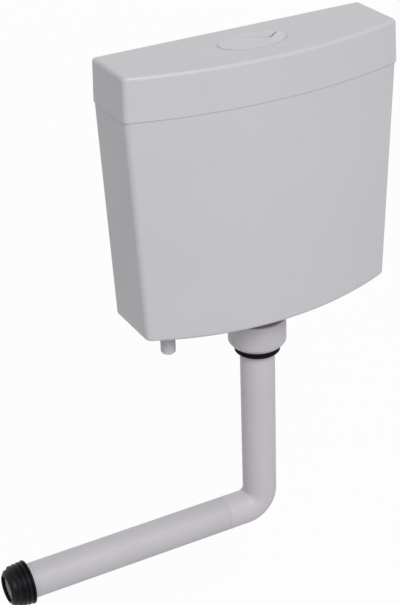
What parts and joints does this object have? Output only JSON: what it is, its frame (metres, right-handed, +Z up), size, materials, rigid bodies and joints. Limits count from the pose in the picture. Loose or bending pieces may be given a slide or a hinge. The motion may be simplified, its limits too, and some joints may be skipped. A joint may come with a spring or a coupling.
{
  "type": "toilet cistern",
  "caption": "Wall-hung plastic toilet cistern with a bowed front, lift-off lid, dual push button, bottom water inlet, and a flush pipe that turns aside to a finned rubber cone.",
  "frame": {"origin": "midway between the two wall-fixing holes, on the flat back of the tank", "axes": "+X to the right of a person facing the front, +Y into the wall, +Z up"},
  "size_m": [0.612, 0.1309, 0.7576],
  "materials": {
    "tank": "smooth satin white",
    "lid": "smooth satin white",
    "button_tray": "smooth white",
    "button_collar_nut": "moulded white",
    "full_flush_button": "glossy white",
    "half_flush_button": "glossy white",
    "full_push_rod": "moulded",
    "half_push_rod": "moulded",
    "full_button_spring": "drawn stainless wire",
    "half_button_spring": "drawn stainless wire",
    "outlet_gasket": "matt black",
    "flush_valve_base": "moulded white",
    "outlet_backnut": "moulded white",
    "flush_valve_cage": "moulded white",
    "valve_tower": "moulded blue",
    "overflow_tube": "moulded white",
    "flush_seal": "matt red silicone",
    "full_flush_rocker": "moulded white",
    "half_flush_rocker": "moulded white",
    "rocker_pin": "drawn stainless",
    "half_flush_float": "moulded grey",
    "union_nut": "smooth satin white",
    "pipe_seal": "matt black",
    "flush_bend": "smooth satin white",
    "flush_leg": "smooth satin white",
    "flush_cone": "matt black",
    "inlet_tail": "moulded white with a thread",
    "inlet_washer": "matt black",
    "inlet_backnut": "moulded white",
    "inlet_strainer": "moulded blue",
    "valve_riser": "moulded white",
    "valve_head": "moulded white",
    "refill_tube": "moulded white",
    "valve_diaphragm": "matt black",
    "valve_cap": "moulded blue",
    "lever_pin": "drawn stainless",
    "float_lever": "moulded blue",
    "float_cup": "moulded grey",
    "float_rod": "moulded white"
  },
  "bodies": {
    "cistern": {"tank": "tank", "outlet_gasket": "outlet_gasket", "flush_valve_base": "flush_valve_base", "outlet_backnut": "outlet_backnut", "flush_valve_cage": "flush_valve_cage", "valve_tower": "valve_tower", "rocker_pin": "rocker_pin", "union_nut": "union_nut", "pipe_seal": "pipe_seal", "inlet_tail": "inlet_tail", "inlet_washer": "inlet_washer", "inlet_backnut": "inlet_backnut", "inlet_strainer": "inlet_strainer", "valve_riser": "valve_riser", "valve_head": "valve_head", "refill_tube": "refill_tube", "valve_diaphragm": "valve_diaphragm", "valve_cap": "valve_cap", "lever_pin": "lever_pin"},
    "lid": {"lid": "lid", "button_tray": "button_tray", "button_collar_nut": "button_collar_nut", "full_button_spring": "full_button_spring", "half_button_spring": "half_button_spring"},
    "full_button": {"full_flush_button": "full_flush_button", "full_push_rod": "full_push_rod"},
    "half_button": {"half_flush_button": "half_flush_button", "half_push_rod": "half_push_rod"},
    "full_rocker": {"full_flush_rocker": "full_flush_rocker"},
    "half_rocker": {"half_flush_rocker": "half_flush_rocker"},
    "flush_tube": {"overflow_tube": "overflow_tube", "flush_seal": "flush_seal"},
    "half_float": {"half_flush_float": "half_flush_float"},
    "float": {"float_cup": "float_cup", "float_rod": "float_rod"},
    "float_lever": {"float_lever": "float_lever"},
    "flush_pipe": {"flush_bend": "flush_bend", "flush_leg": "flush_leg", "flush_cone": "flush_cone"}
  },
  "joints": [
    {"name": "lid_lift", "type": "slide", "parent": "cistern", "child": "lid", "axis": [0, 0, 1], "range_m": [0, 0.12]},
    {"name": "full_flush_press", "type": "slide", "parent": "lid", "child": "full_button", "axis": [0, 0, -1], "range_m": [0, 0.006], "stiffness_N_per_m": 400, "springref_m": -0.005, "deforming": ["full_button_spring"]},
    {"name": "half_flush_press", "type": "slide", "parent": "lid", "child": "half_button", "axis": [0, 0, -1], "range_m": [0, 0.006], "stiffness_N_per_m": 400, "springref_m": -0.005, "deforming": ["half_button_spring"]},
    {"name": "full_rocker_tilt", "type": "hinge", "parent": "cistern", "child": "full_rocker", "pos_m": [0, -0.06, 0.026], "axis": [1, 0, 0], "range_deg": [0, 31.5]},
    {"name": "half_rocker_tilt", "type": "hinge", "parent": "cistern", "child": "half_rocker", "pos_m": [0, -0.06, 0.026], "axis": [-1, 0, 0], "range_deg": [0, 31.5]},
    {"name": "flush_tube_lift", "type": "slide", "parent": "cistern", "child": "flush_tube", "axis": [0, 0, 1], "range_m": [0, 0.0136]},
    {"name": "half_float_lift", "type": "slide", "parent": "cistern", "child": "half_float", "axis": [0, 0, 1], "range_m": [0, 0.0136]},
    {"name": "float_rise", "type": "slide", "parent": "cistern", "child": "float", "axis": [0, 0, 1], "range_m": [0, 0.01]},
    {"name": "float_lever_tilt", "type": "hinge", "parent": "cistern", "child": "float_lever", "pos_m": [-0.1325, -0.06, 0.026], "axis": [0, -1, 0], "range_deg": [0, 21.2]},
    {"name": "flush_pipe_swivel", "type": "hinge", "parent": "cistern", "child": "flush_pipe", "pos_m": [0, -0.06, -0.36], "axis": [0, 0, 1], "range_deg": [0, 180]}
  ],
  "couplings": [
    {"joint": "full_rocker_tilt", "follows": "full_flush_press", "rad_per_m": 90.9},
    {"joint": "half_rocker_tilt", "follows": "half_flush_press", "rad_per_m": 90.9},
    {"joint": "flush_tube_lift", "follows": "full_flush_press", "ratio": 2.25},
    {"joint": "half_float_lift", "follows": "half_flush_press", "ratio": 2.25},
    {"joint": "float_lever_tilt", "follows": "float_rise", "rad_per_m": 36.7}
  ]
}
